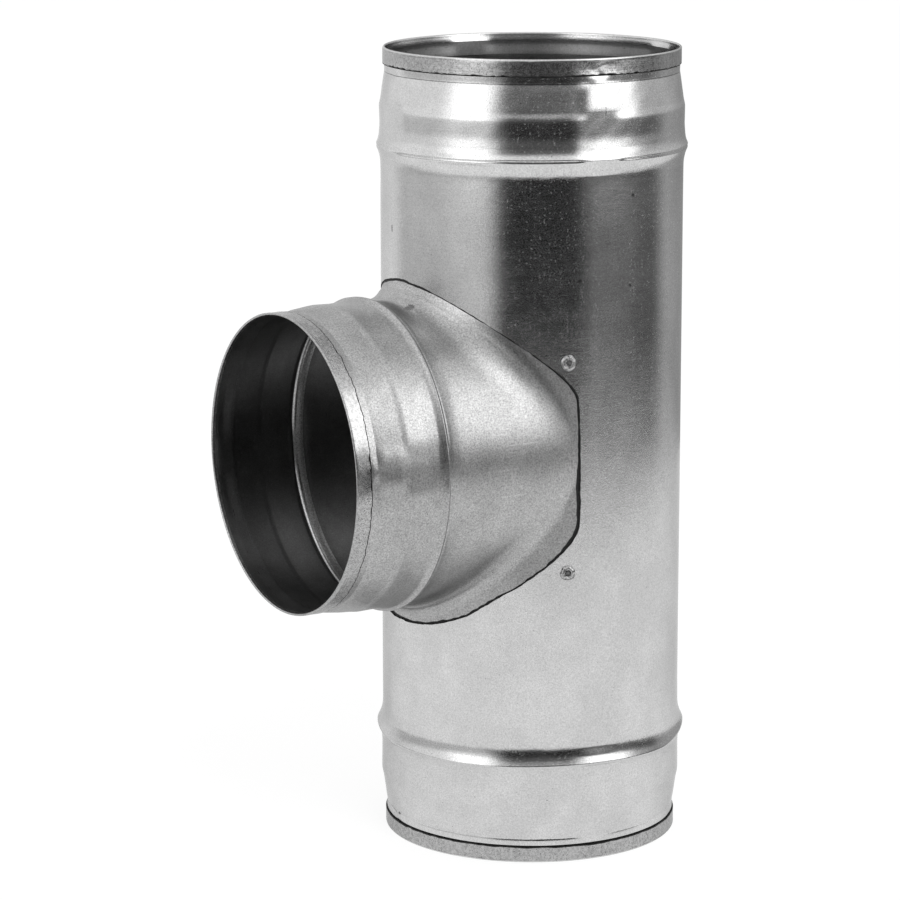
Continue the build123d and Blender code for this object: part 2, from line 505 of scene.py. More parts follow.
def grown(outline, amount):
    """The outline moved outward by amount, on the unrolled sheet."""
    ahead = np.roll(outline, -1, axis=0) - np.roll(outline, 1, axis=0)
    outward = np.stack([-ahead[:, 1], ahead[:, 0]], axis=-1)
    outward /= np.linalg.norm(outward, axis=1)[:, None]
    return outline + outward * np.reshape(amount, (-1, 1))


def nearest(points, line):
    """For each point, the nearest point of a closed dense line and whether it lies inside."""
    index = np.concatenate(
        [
            np.argmin(((part[:, None] - line[None]) ** 2).sum(-1), axis=1)
            for part in np.array_split(points, max(1, len(points) // BATCH))
        ]
    )
    ahead = np.roll(line, -1, axis=0) - np.roll(line, 1, axis=0)
    offset = points - line[index]
    side = ahead[index, 0] * offset[:, 1] - ahead[index, 1] * offset[:, 0]
    return line[index], side < 0


def pipe_skin(sheet, columns, heights, outline, inset, turned, kind=OUTSIDE):
    """One face of the pipe's sheet, with its grid fitted to the edge of the opening."""
    angle = np.linspace(-math.pi, math.pi, columns, endpoint=False)
    angle, height = np.meshgrid(angle, heights)
    flat = np.stack([angle * TUBE_RADIUS, height - BRANCH_HEIGHT], axis=-1)
    window = (np.abs(flat) < OPENING_AREA).all(axis=-1)
    inside = np.zeros(angle.shape, bool)
    on_line, within = nearest(flat[window], outline)
    inside[window] = within
    near = np.zeros(angle.shape + (2,))
    near[window] = on_line
    after = np.roll(inside, -1, axis=1)
    keep = ~(inside[:-1] | after[:-1] | after[1:] | inside[1:])
    touched = np.zeros(angle.shape, bool)
    kept = np.zeros(angle.shape, bool)
    for step_row in (0, 1):
        for step_column in (0, 1):
            rows = slice(step_row, step_row + keep.shape[0])
            shifted = np.roll(keep, step_column, axis=1)
            kept[rows] |= shifted
            touched[rows] |= ~shifted
    border = kept & touched & window
    border[0] = border[-1] = False
    flat[border] = near[border]
    angle = flat[..., 0] / TUBE_RADIUS
    height = flat[..., 1] + BRANCH_HEIGHT
    radius = pipe_radius(angle, height) - inset
    sheet.grid(turned_about_z(radius, angle, height), kind=kind, turned=turned, keep=keep)


def add_rim(sheet, outline):
    """The cut edge of the opening, with its burr."""
    around = np.linspace(0, 2 * math.pi, len(outline), endpoint=False)
    burr = BURR * waves(61, 30, 330, 0.25)(around) + CUT_SWAY * waves(62, 4, 30, 0.5)(around)
    rows = [
        (grown(outline, RIM_BAND), 0),
        (grown(outline, RIM_BAND / 2), 0),
        (grown(outline, RIM_BEVEL + burr), 0),
        (grown(outline, burr), 0.05 + 0.03 * burr),
        (grown(outline, burr + 0.03), SHEET - 0.04),
        (grown(outline, RIM_BEVEL + burr), SHEET),
        (grown(outline, RIM_BAND), SHEET),
    ]
    points = []
    for flat, depth in rows:
        angle = flat[:, 0] / TUBE_RADIUS
        height = flat[:, 1] + BRANCH_HEIGHT
        points.append(turned_about_z(pipe_radius(angle, height) - depth, angle, height))
    points = np.stack(points)
    sheet.grid(points[:3])
    # Its cut face is near black: painted shade beside the edge.
    sheet.grid(points[2:5], kind=EDGE_SHADE)
    sheet.grid(points[4:])


def pipe_sheet(materials):
    sheet = Sheet()
    outline = opening_outline(RIM_POINTS)
    fine_outline = grown(opening_outline(4 * RIM_POINTS), RIM_BAND)
    near_opening = BRANCH_HEIGHT - OPENING_ZONE
    middle = spread(
        (PLAIN_START, near_opening, PLAIN_STEP),
        (near_opening, PIPE_LENGTH - near_opening, OPENING_STEP),
        (PIPE_LENGTH - near_opening, PIPE_LENGTH - PLAIN_START, PLAIN_STEP),
    )
    heights = np.concatenate([SPIGOT_ROWS[:-1], middle, PIPE_LENGTH - SPIGOT_ROWS[-2::-1]])
    pipe_skin(sheet, COLUMNS, heights, fine_outline, 0, turned=False)
    spigot = np.append(BORE_START, SPIGOT_ROWS[SPIGOT_ROWS > BORE_START][4::4])
    middle = spread((PLAIN_START, PIPE_LENGTH - PLAIN_START, BORE_STEP))
    heights = np.concatenate([spigot, middle[1:-1], PIPE_LENGTH - spigot[::-1]])
    pipe_skin(sheet, COLUMNS // 2, heights, fine_outline, SHEET, turned=True, kind=SHADED_BORE)
    add_rim(sheet, outline)
    add_hem(sheet, lower_mouth, turned_about_z, flip=True)
    add_hem(
        sheet, upper_mouth, lambda radius, angle, s: turned_about_z(radius, angle, PIPE_LENGTH - s),
        flip=False, bright_rows=3,
    )
    piece = sheet.build("pipe_sheet", materials)
    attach(piece, "root")
    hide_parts("main_pipe")
    return piece


def cone_radius(along):
    taper = (TUBE_RADIUS - THROAT_RADIUS) / (COLLAR_END - THROAT_REACH)
    return np.minimum(TUBE_RADIUS, TUBE_RADIUS - taper * (COLLAR_END - along))


def collar_radius(angle, along):
    """Outer radius of the collar outside its fold."""
    s = BRANCH_REACH - along
    rolled = branch_mouth.radius(angle, np.minimum(s, PLAIN_START)) - TUBE_RADIUS
    return cone_radius(along) + np.where(s < PLAIN_START, rolled, 0)


def eased(points, reach):
    """A line of points with its bends spread over reach either way, less towards its ends."""
    length = np.concatenate([[0], np.cumsum(np.linalg.norm(np.diff(points, axis=0), axis=1))])
    room = np.minimum(reach, np.minimum(length, length[-1] - length))
    places = length[:, None] + room[:, None] * np.linspace(-1, 1, EASE_SAMPLES)
    return np.stack([np.interp(places, length, points[:, i]).mean(axis=1) for i in range(3)], -1)


def saddle_profile(angle, samples):
    """Dense points of the collar's outside at one angle, from its stop bead to the flange rim."""
    root = THROAT_REACH
    half_turn = math.degrees(min(angle, 2 * math.pi - angle))
    fold = float(np.interp(half_turn, *zip(*SADDLE_FOLD)))
    for _ in range(ROOT_ROUNDS):
        reach = (cone_radius(root) + fold) * math.sin(angle)
        root = min(SADDLE_START, math.sqrt(max(0.0, (SADDLE_RADIUS + fold) ** 2 - reach**2)))
    radius = float(collar_radius(angle, root))
    centre = np.array([root, (radius + fold) * math.sin(angle), (radius + fold) * math.cos(angle)])
    on_branch = np.array([root, radius * math.sin(angle), radius * math.cos(angle)])
    inward = centre[:2] * SADDLE_RADIUS / np.hypot(*centre[:2])
    on_pipe = np.array([inward[0], inward[1], centre[2]])
    first, last = on_branch - centre, on_pipe - centre
    bend = math.acos(np.clip(first @ last / np.linalg.norm(first) / np.linalg.norm(last), -1, 1))
    share = np.linspace(0, 1, samples)[:, None]
    if bend > 1e-3:
        from_first, to_last = np.sin((1 - share) * bend), np.sin(share * bend)
        arc = centre + (from_first * first + to_last * last) / math.sin(bend)
    else:
        arc = centre + (1 - share) * first + share * last
    along = np.linspace(SADDLE_START, root, samples)
    out = collar_radius(angle, along)
    straight = np.stack([along, out * math.sin(angle), out * math.cos(angle)], axis=-1)
    edge = np.array([SADDLE_RADIUS * math.atan2(on_pipe[1], on_pipe[0]), on_pipe[2]])
    side = min(1.0, FLANGE_RADIUS * abs(math.sin(angle)) / SADDLE_RADIUS)
    rim_turn = math.copysign(math.asin(side), math.sin(angle))
    rim = np.array([SADDLE_RADIUS * rim_turn, FLANGE_RADIUS * math.cos(angle)])
    flat = edge + share[1:] * (rim - edge)
    turn = flat[:, 0] / SADDLE_RADIUS
    flange = np.stack([SADDLE_RADIUS * np.cos(turn), SADDLE_RADIUS * np.sin(turn), flat[:, 1]], -1)
    points = np.concatenate([eased(np.concatenate([straight, arc[1:]]), FOLD_EASE), flange])
    points[:, 2] += BRANCH_HEIGHT
    return points


def saddle_rows(outline):
    """The saddle's grid, with rows crowded where it passes under the edge of the opening.

    Its last GAP_ROWS start where the painted shade of the gap beside that edge begins.
    """
    turn = outline[:, 0] / TUBE_RADIUS
    edge = turned_about_z(np.full(len(turn), TUBE_RADIUS), turn, outline[:, 1] + BRANCH_HEIGHT)
    columns = []
    ragged = waves(63, 3, 60, 0.5)
    for angle in np.linspace(0, 2 * math.pi, COLUMNS, endpoint=False):
        dense = saddle_profile(angle, SADDLE_SAMPLES)
        steps = np.linalg.norm(np.diff(dense, axis=0), axis=1)
        length = np.concatenate([[0], np.cumsum(steps)])
        gap = np.sqrt(((dense[:, None] - edge[None, ::2]) ** 2).sum(-1)).min(axis=1)
        passing = length[np.argmin(gap)]
        half_turn = abs(math.degrees(angle if angle < math.pi else angle - 2 * math.pi))
        shade = np.interp(half_turn, *zip(*GAP_SHADE)) * (1 + GAP_RAGGED * float(ragged(angle)))
        crowded = passing - CROWDED_STRETCH
        before = np.linspace(0, crowded, SADDLE_ROWS)[:-1]
        under = np.linspace(crowded, passing - shade, CROWDED_ROWS)[:-1]
        beyond = np.linspace(passing - shade, length[-1], GAP_ROWS)
        wanted = np.concatenate([before, under, beyond])
        columns.append(np.stack([np.interp(wanted, length, dense[:, i]) for i in range(3)], -1))
    return np.stack(columns, axis=1)


def inward_copy(points, depth):
    """The grid moved off its surface by depth, away from its outer side."""
    down = np.gradient(points, axis=0)
    around = np.roll(points, -1, axis=1) - np.roll(points, 1, axis=1)
    normal = np.cross(around, down)
    normal /= np.linalg.norm(normal, axis=-1, keepdims=True)
    return points - normal * depth


def collar_sheet(materials):
    sheet = Sheet()
    angle = np.linspace(0, 2 * math.pi, COLUMNS, endpoint=False)
    # The spigot's rows end a little before the saddle's first one.
    rows = SPIGOT_ROWS[SPIGOT_ROWS < BRANCH_REACH - COLLAR_END + 0.2]
    along = BRANCH_REACH - rows
    turn, place = np.meshgrid(angle, along)
    spigot = turned_about_x(collar_radius(turn, place), turn, place)
    saddle = saddle_rows(opening_outline(RIM_POINTS))
    outer = np.concatenate([spigot, saddle])
    covered = len(outer) - GAP_ROWS
    sheet.grid(outer[: covered + 1], turned=True)
    # The rows from covered on are near black: painted shade in the gap beside the opening's edge.
    sheet.grid(outer[covered:], kind=EDGE_SHADE, turned=True)
    first = int(np.argmax(rows > BORE_START))
    groove_start, groove_end = np.searchsorted(rows, np.add(BEAD_CREST, BRIGHT_GROOVE)) - first
    inner = inward_copy(outer, SHEET)[first:, ::2]
    sheet.grid(inner[: groove_start + 1], kind=SHADED_BORE)
    sheet.grid(inner[groove_start : groove_end + 1])
    sheet.grid(inner[groove_end:], kind=SHADED_BORE)
    sheet.grid(np.stack([outer[-1, ::2], inner[-1]]), kind=EDGE_SHADE, turned=True)
    add_hem(
        sheet, branch_mouth, lambda radius, angle, s: turned_about_x(radius, angle, BRANCH_REACH - s),
        flip=True,
    )
    piece = sheet.build("collar_sheet", materials)
    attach(piece, "root")
    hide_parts("branch_collar")
    return piece


# Rings of a rivet, as height over the pipe's surface and radius.
HEAD_FORM = [
    (0.02, 3.1), (0.35, 3.0), (0.8, 2.65), (1.1, 2.1), (1.15, 1.7), (1.0, 1.35), (0.55, 1.2),
    (0.45, 1.1),
]
STUB_FORM = [(0.42, 1.12), (0.5, 0.85), (0.72, 0.7), (0.78, 0.35), (0.74, 0.001)]
TAIL_FORM = [
    (0.0, 1.6), (-1.3, 1.6), (-1.32, 2.3), (-3.9, 2.3), (-4.25, 2.0), (-4.3, 0.9), (-5.2, 0.85),
    (-5.2, 0.001),
]
RIVET_DENT = 0.035
RIVET_LEAN = 0.07
FIRST_RIVET_SEED = 70
# The materials of a rivet, in the order of its material slots. The stub's is very dark: partly
# its steel, partly painted shade in the crater.
BODY, STUB_AND_SHADE = range(2)


def rivet(node, seed, materials):
    """A set blind rivet: domed head with the broken stub in its crater, and the upset end inside."""
    corners = np.array([v.co for v in frame["nodes"][node].data.vertices])
    middle = corners.mean(axis=0) / MM
    turn = math.atan2(middle[1], middle[0])
    outward = np.array([math.cos(turn), math.sin(turn), 0])
    sideways = np.array([-math.sin(turn), math.cos(turn), 0])
    upward = np.array([0, 0, 1.0])
    angle = np.linspace(0, 2 * math.pi, RIVET_COLUMNS, endpoint=False)
    dent = waves(seed, 2, 7, 0.6)
    lean = waves(seed + 1, 1, 3, 0.3)
    sheet = Sheet()

    def ring(lift, radius):
        wide = radius * (1 + RIVET_DENT * dent(angle))
        high = lift + RIVET_LEAN * lean(angle) * smooth_step(lift, 0, 0.6)
        spot = outward * (TUBE_RADIUS + high)[:, None] + sideways * (wide * np.cos(angle))[:, None]
        return spot + upward * (wide * np.sin(angle) + middle[2])[:, None]

    def refined(form, parts):
        """The form's heights and radii, with each stretch cut into parts."""
        lifts, radii = np.array(form).T
        at = np.linspace(0, len(form) - 1, (len(form) - 1) * parts + 1)
        whole = np.arange(len(form))
        return np.interp(at, whole, lifts), np.interp(at, whole, radii)

    for form, kind, parts, turned in (
        (HEAD_FORM, BODY, 3, False), (STUB_FORM, STUB_AND_SHADE, 2, True), (TAIL_FORM, BODY, 1, True),
    ):
        rings = [ring(lift, radius) for lift, radius in zip(*refined(form, parts))]
        sheet.grid(np.stack(rings), kind=kind, turned=turned)
    piece = sheet.build("blind_" + node, materials, sharp=50)
    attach(piece, "root")
    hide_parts(node)
    return piece


class Nodes:
    """A material's or world's node tree, with short calls for the nodes used here."""

    def __init__(self, owner):
        owner.use_nodes = True
        self.tree = owner.node_tree
        self.tree.nodes.clear()

    def add(self, kind, inputs=None, **settings):
        node = self.tree.nodes.new(kind)
        for name, value in settings.items():
            setattr(node, name, value)
        for name, value in (inputs or {}).items():
            self.set(node.inputs[name], value)
        return node

    def set(self, socket, value):
        if isinstance(value, bpy.types.NodeSocket):
            self.tree.links.new(value, socket)
        else:
            socket.default_value = value

    def math(self, operation, first, second=0.0, third=0.0):
        node = self.add("ShaderNodeMath", {0: first, 1: second, 2: third}, operation=operation)
        return node.outputs[0]

    def window(self, value, start, end):
        """0 below start, 1 above end, smooth between. Start may be the larger."""
        node = self.add(
            "ShaderNodeMapRange",
            {"Value": value, "From Min": start, "From Max": end},
            interpolation_type="SMOOTHSTEP",
        )
        return node.outputs["Result"]

    def scaled(self, vector, factors):
        node = self.add("ShaderNodeVectorMath", {0: vector, 1: factors}, operation="MULTIPLY")
        return node.outputs[0]

    def noise(self, vector, scale, detail, roughness):
        inputs = {"Vector": vector, "Scale": scale, "Detail": detail, "Roughness": roughness}
        return self.add("ShaderNodeTexNoise", inputs).outputs["Fac"]

    def cells(self, vector, scale):
        """Round cells: the distance from the middle of each, and its three random shares."""
        cells = self.add("ShaderNodeTexVoronoi", {"Vector": vector, "Scale": scale}, feature="F1")
        chosen = self.add("ShaderNodeSeparateColor", {"Color": cells.outputs["Color"]})
        return cells.outputs["Distance"], chosen.outputs

    def changed(self, tone, share, change):
        """The tone, made brighter (or darker, if below 0) by change where share is 1."""
        return self.math("MULTIPLY", tone, self.math("MULTIPLY_ADD", share, change, 1.0))

    def surface(self, shader):
        self.add("ShaderNodeOutputMaterial", {"Surface": shader.outputs[0]})

    def blend(self, share, first, second):
        node = self.add("ShaderNodeMix", data_type="RGBA")
        self.set(node.inputs["Factor"], share)
        self.set(node.inputs[6], first)
        self.set(node.inputs[7], second)
        return node.outputs[2]

    def place(self):
        """Position in the part's frame, in millimetres."""
        node = self.add("ShaderNodeTexCoord")
        return self.scaled(node.outputs["Object"], (1 / MM,) * 3)


# How bright metal stays where it is seen almost edge on.
EDGE_TINT = 0.66
# Dull grains in the metal, which scatter light where the reflections are dark: how much they
# scatter, how much brighter they are, how many cells there are to a millimetre, and the factor
# and offset that turn a cell's random share into its grain's size.
DUST = 0.22
DUST_TONE = 0.12
DUST_SCALE = 1.1
DUST_SIZE = (0.55, -0.2)
# Dark specks: scale of their cells, share of the cells without one, and size.
SPECKS = [(0.22, 0.50, 0.12), (0.75, 0.60, 0.32), (1.3, 0.80, 0.9)]
SPECK_TONE = -0.62
# Noises, as scale, detail and roughness. Those with scale 1 are stretched: they vary slowly
# along the rolled sheet and quickly across it.
CLOUDS = (0.045, 4.0, 0.6)
FINE = (1.7, 4.0, 0.7)
STREAKS = (1.0, 4.0, 0.6)
STREAKS_ALONG, STREAKS_ACROSS = 0.05, 1.1
BLOTCHES = (0.8, 5.0, 0.7)
PITS = (2.6, 3.0, 0.6)
WEAR = (0.05, 2.0, 0.5)
GROOVES = (1.0, 3.0, 0.6)
GROOVES_ALONG, GROOVES_ACROSS = 0.03, 1.5
GRIT = (1.8, 3.0, 0.6)
SMEARS = (0.9, 4.0, 0.65)
# How the fine noise frays the outline of a mark.
FRAY = 1.4
FRAYED_OUTLINE = (1.85, 1.45)


def grey(level):
    return (level, level, level, 1.0)


# Small marks on the metal: centre and half sizes in millimetres, then how much they change its
# tone. The first goes all round the neck of the upper mouth, in its crease, and the last lies in
# the crease of the lower neck: these two are dark lines of painted shade.
PIPE_MARKS_AND_CREASE_SHADE = [
    # Painted shade in the upper neck's crease.
    ((0.0, 0.0, 315.2), (200.0, 200.0, 0.2), -0.6),
    ((61.0, -8.4, 254.2), (1.2, 0.9, 1.6), -0.45),
    ((-8.4, 60.9, 270.5), (0.9, 0.9, 0.7), -0.5),
    ((-7.3, 61.1, 234.8), (0.8, 0.9, 0.6), -0.4),
    ((15.4, 59.5, 238.1), (0.7, 0.9, 0.6), -0.5),
    ((4.9, 61.3, 304.2), (0.25, 0.9, 2.6), -0.4),
    ((61.2, -6.0, 10.2), (1.6, 1.8, 0.9), -0.97),
    # Painted shade in the lower neck's crease.
    ((28.5, 54.0, 9.3), (10.5, 6.5, 0.33), -0.7),
]
COLLAR_MARKS = [
    ((52.3, -7.5, 226.0), (1.5, 2.4, 3.0), -0.5),
    ((66.2, 14.2, 225.6), (1.9, 1.9, 3.4), -0.5),
    ((81.9, 60.9, 156.6), (2.6, 2.0, 2.4), -0.10),
    ((40.0, 60.6, 175.6), (11.0, 3.0, 0.35), 0.20),
    ((50.0, 61.5, 166.2), (9.0, 3.0, 0.4), 0.17),
    ((45.0, 60.8, 155.4), (8.0, 3.0, 0.45), 0.20),
    ((38.0, 60.8, 149.4), (7.0, 3.0, 0.3), 0.15),
]


def galvanised(name, across, light, dark, gloss, grain, mottle, marks_and_shade=()):
    """Rolled zinc-coated sheet, with clouds from dark to light.

    Across is the direction over which its roll marks vary quickly. Grain is the depth of the
    zinc's relief in millimetres, and mottle the strength of its fine tones.
    """
    material = bpy.data.materials.new(name)
    nodes = Nodes(material)
    place = nodes.place()
    clouds = nodes.noise(place, *CLOUDS)
    stretch = tuple(STREAKS_ACROSS if axis == across else STREAKS_ALONG for axis in "xyz")
    streaks = nodes.noise(nodes.scaled(place, stretch), *STREAKS)
    fine = nodes.noise(place, *FINE)
    colour = nodes.blend(nodes.window(clouds, 0.3, 0.7), grey(dark), grey(light))
    shade = nodes.math("MULTIPLY_ADD", nodes.window(streaks, 0.3, 0.75), 0.04, 0.965 - mottle / 2)
    tone = nodes.math("MULTIPLY_ADD", nodes.window(fine, 0.3, 0.7), mottle, shade)
    for scale, chosen_above, size in SPECKS:
        distance, chosen = nodes.cells(place, scale)
        speck_size = nodes.math("SUBTRACT", chosen[0], chosen_above)
        speck_size = nodes.math("MULTIPLY", speck_size, size)
        speck = nodes.math("LESS_THAN", distance, speck_size)
        tone = nodes.changed(tone, speck, SPECK_TONE)
    # Marks change the tone; some of them are lines of painted shade in creases.
    for centre, half, change in marks_and_shade:
        offset = nodes.add("ShaderNodeVectorMath", {0: place, 1: centre}, operation="SUBTRACT")
        reach = nodes.scaled(offset.outputs[0], tuple(1 / size for size in half))
        away = nodes.add("ShaderNodeVectorMath", {0: reach}, operation="LENGTH").outputs["Value"]
        frayed = nodes.math("MULTIPLY_ADD", fine, FRAY, away)
        tone = nodes.changed(tone, nodes.window(frayed, *FRAYED_OUTLINE), change)
    distance, chosen = nodes.cells(place, DUST_SCALE)
    dust = nodes.math("LESS_THAN", distance, nodes.math("MULTIPLY_ADD", chosen[1], *DUST_SIZE))
    tone = nodes.changed(tone, dust, DUST_TONE)
    toned = nodes.add("ShaderNodeVectorMath", {0: colour}, operation="SCALE")
    nodes.set(toned.inputs["Scale"], tone)
    rough = nodes.math("MULTIPLY_ADD", streaks, 0.06, gloss - 0.04)
    rough = nodes.math("MULTIPLY_ADD", clouds, 0.05, rough)
    relief = nodes.math("MULTIPLY_ADD", streaks, 0.22, fine)
    bump = nodes.add("ShaderNodeBump", {"Height": relief, "Distance": grain * MM, "Strength": 1.0})
    shader = nodes.add(
        "ShaderNodeBsdfPrincipled",
        {
            "Base Color": toned.outputs[0], "Metallic": nodes.math("MULTIPLY_ADD", dust, -DUST, 1.0),
            "Roughness": rough, "Specular Tint": grey(EDGE_TINT), "Normal": bump.outputs[0],
        },
    )
    nodes.surface(shader)
    return material


def pressed_hem(name, across):
    """The folded edge: pitted, and grooved by the rollers. Across is the mouth's axis."""
    material = bpy.data.materials.new(name)
    nodes = Nodes(material)
    place = nodes.place()
    blotches = nodes.noise(place, *BLOTCHES)
    pits = nodes.noise(place, *PITS)
    worn = nodes.noise(place, *WEAR)
    colour = nodes.blend(nodes.window(blotches, 0.34, 0.62), grey(0.34), grey(0.50))
    depth = nodes.math("MULTIPLY", nodes.window(pits, 0.47, 0.33), nodes.window(worn, 0.32, 0.50))
    colour = nodes.blend(depth, colour, grey(0.08))
    rough = nodes.math("MULTIPLY_ADD", blotches, 0.12, 0.19)
    stretch = tuple(GROOVES_ACROSS if axis == across else GROOVES_ALONG for axis in "xyz")
    grooves = nodes.noise(nodes.scaled(place, stretch), *GROOVES)
    relief = nodes.math("MULTIPLY_ADD", pits, 0.8, blotches)
    relief = nodes.math("MULTIPLY_ADD", grooves, 5.0, relief)
    bump = nodes.add("ShaderNodeBump", {"Height": relief, "Distance": 0.010 * MM, "Strength": 1.0})
    shader = nodes.add(
        "ShaderNodeBsdfPrincipled",
        {
            "Base Color": colour, "Metallic": 1.0, "Roughness": rough,
            "Specular Tint": grey(EDGE_TINT), "Normal": bump.outputs[0],
        },
    )
    nodes.surface(shader)
    return material


def cut_edge_painted_shade(name):
    """Bare sheared steel and the gap beside it, coloured near black as painted shade in that gap."""
    material = bpy.data.materials.new(name)
    nodes = Nodes(material)
    grit = nodes.noise(nodes.place(), *GRIT)
    colour = nodes.blend(nodes.window(grit, 0.45, 0.8), grey(0.006), grey(0.04))
    shader = nodes.add(
        "ShaderNodeBsdfPrincipled", {"Base Color": colour, "Metallic": 0.2, "Roughness": 0.7}
    )
    nodes.surface(shader)
    return material


def rivet_metal(name, level, gloss, dirt):
    """Bare metal, smeared with dirt. Gloss is the roughness where it is cleanest."""
    material = bpy.data.materials.new(name)
    nodes = Nodes(material)
    place = nodes.place()
    smears = nodes.noise(place, *SMEARS)
    colour = nodes.blend(nodes.window(smears, 0.35, 0.6), grey(dirt), grey(level))
    rough = nodes.math("MULTIPLY_ADD", smears, 0.3, gloss)
    bump = nodes.add("ShaderNodeBump", {"Height": smears, "Distance": 0.12 * MM, "Strength": 1.0})
    shader = nodes.add(
        "ShaderNodeBsdfPrincipled",
        {"Base Color": colour, "Metallic": 1.0, "Roughness": rough, "Normal": bump.outputs[0]},
    )
    nodes.surface(shader)
    return material


# Where the photograph was taken from, in the part's frame.
CAMERA_TURN = math.radians(57.43)
CAMERA_REACH = 1.4493
CAMERA_HEIGHT = 0.4587
CAMERA_PITCH = 0.20443
CAMERA_YAW = -0.02299
CAMERA_ROLL = -0.0013
LENS = 143.39
SENSOR_WIDTH = 36


def camera():
    """The camera, set up facing along +Y and then swung round the part."""
    data = bpy.data.cameras.new("camera")
    data.lens = LENS
    data.sensor_width = SENSOR_WIDTH
    data.clip_start = 0.05
    data.clip_end = 50
    eye = bpy.data.objects.new("camera", data)
    ahead = Vector(
        (
            math.sin(CAMERA_YAW) * math.cos(CAMERA_PITCH),
            math.cos(CAMERA_YAW) * math.cos(CAMERA_PITCH),
            -math.sin(CAMERA_PITCH),
        )
    )
    right = ahead.cross(Vector((0, 0, 1))).normalized()
    up = right.cross(ahead)
    tilted = right * math.cos(CAMERA_ROLL) + up * math.sin(CAMERA_ROLL)
    upright = up * math.cos(CAMERA_ROLL) - right * math.sin(CAMERA_ROLL)
    facing = Matrix((tilted, upright, -ahead)).transposed()
    swing = Matrix.Rotation(CAMERA_TURN + math.pi / 2, 3, "Z")
    eye.matrix_world = Matrix.Translation(swing @ Vector((0, -CAMERA_REACH, CAMERA_HEIGHT))) @ (
        swing @ facing
    ).to_4x4()
    bpy.context.scene.collection.objects.link(eye)
    bpy.context.scene.camera = eye


def background_rays(nodes):
    """1 for the rays that show the background: camera, glossy and transmission rays."""
    path = nodes.add("ShaderNodeLightPath")
    shown = nodes.math("MAXIMUM", path.outputs["Is Camera Ray"], path.outputs["Is Glossy Ray"])
    return nodes.math("MAXIMUM", shown, path.outputs["Is Transmission Ray"])


# Half the floor's side in metres. Its light falls on the part as from a plain floor, while the
# camera and the metal see a brighter one, with a soft shadow.
FLOOR_HALF = 12.0
FLOOR_TONE = 0.8
SHADOW_TONE = 0.22
FLOOR_GLOW = 0.84


def floor():
    mesh = bpy.data.meshes.new("floor")
    corners = [(x * FLOOR_HALF, y * FLOOR_HALF, 0) for x, y in ((-1, -1), (1, -1), (1, 1), (-1, 1))]
    mesh.from_pydata(corners, [], [(0, 1, 2, 3)])
    plane = bpy.data.objects.new("floor", mesh)
    bpy.context.scene.collection.objects.link(plane)
    material = bpy.data.materials.new("white_floor")
    nodes = Nodes(material)
    plain = nodes.add("ShaderNodeBsdfDiffuse", {"Color": grey(FLOOR_TONE)})
    shadow = nodes.add("ShaderNodeBsdfDiffuse", {"Color": grey(SHADOW_TONE)})
    glow = nodes.add("ShaderNodeEmission", {"Color": grey(1.0), "Strength": FLOOR_GLOW})
    white = nodes.add("ShaderNodeAddShader", {0: shadow.outputs[0], 1: glow.outputs[0]})
    mixed = nodes.add("ShaderNodeMixShader", {"Fac": background_rays(nodes)})
    nodes.set(mixed.inputs[1], plain.outputs[0])
    nodes.set(mixed.inputs[2], white.outputs[0])
    nodes.surface(mixed)
    mesh.materials.append(material)


def world():
    made = bpy.data.worlds.new("studio")
    bpy.context.scene.world = made
    nodes = Nodes(made)
    soft = nodes.add("ShaderNodeBackground", {"Color": grey(0.9), "Strength": 0.85})
    white = nodes.add("ShaderNodeBackground", {"Color": grey(1.0), "Strength": 1.0})
    mixed = nodes.add("ShaderNodeMixShader", {"Fac": background_rays(nodes)})
    nodes.set(mixed.inputs[1], soft.outputs[0])
    nodes.set(mixed.inputs[2], white.outputs[0])
    nodes.add("ShaderNodeOutputWorld", {"Surface": mixed.outputs[0]})


WALL_RADIUS = 0.80
WALL_HEIGHT = 1.3
WALL_COLUMNS = 96
# Height over which a card brightens, and the heights between which it fades into the ceiling.
CARD_RISE = 0.24
CEILING = (0.46, 0.70)
# Cards round the table: first and last direction, softness of their sides, all in degrees to the
# right of the camera, the height in metres where they begin, then their brightness at table
# height, above it, and near the ceiling.
CARDS = [
    (-181.0, -27.0, 8.0, 0.12, 0.60, 1.10, 1.05),
    (-181.0, -118.0, 10.0, 0.12, 0.50, 0.0, 0.0),
    (-62.0, -27.0, 10.0, 0.12, 0.02, 0.95, 0.8),
    (-27.0, 40.0, 8.0, 0.12, 0.0, 0.13, 1.0),
    (40.0, 181.0, 9.0, 0.16, 0.10, 0.60, 0.9),
    (40.0, 80.0, 10.0, 0.19, 0.04, 1.90, 1.6),
    (110.0, 181.0, 10.0, 0.12, 0.40, 0.1, 0.0),
]


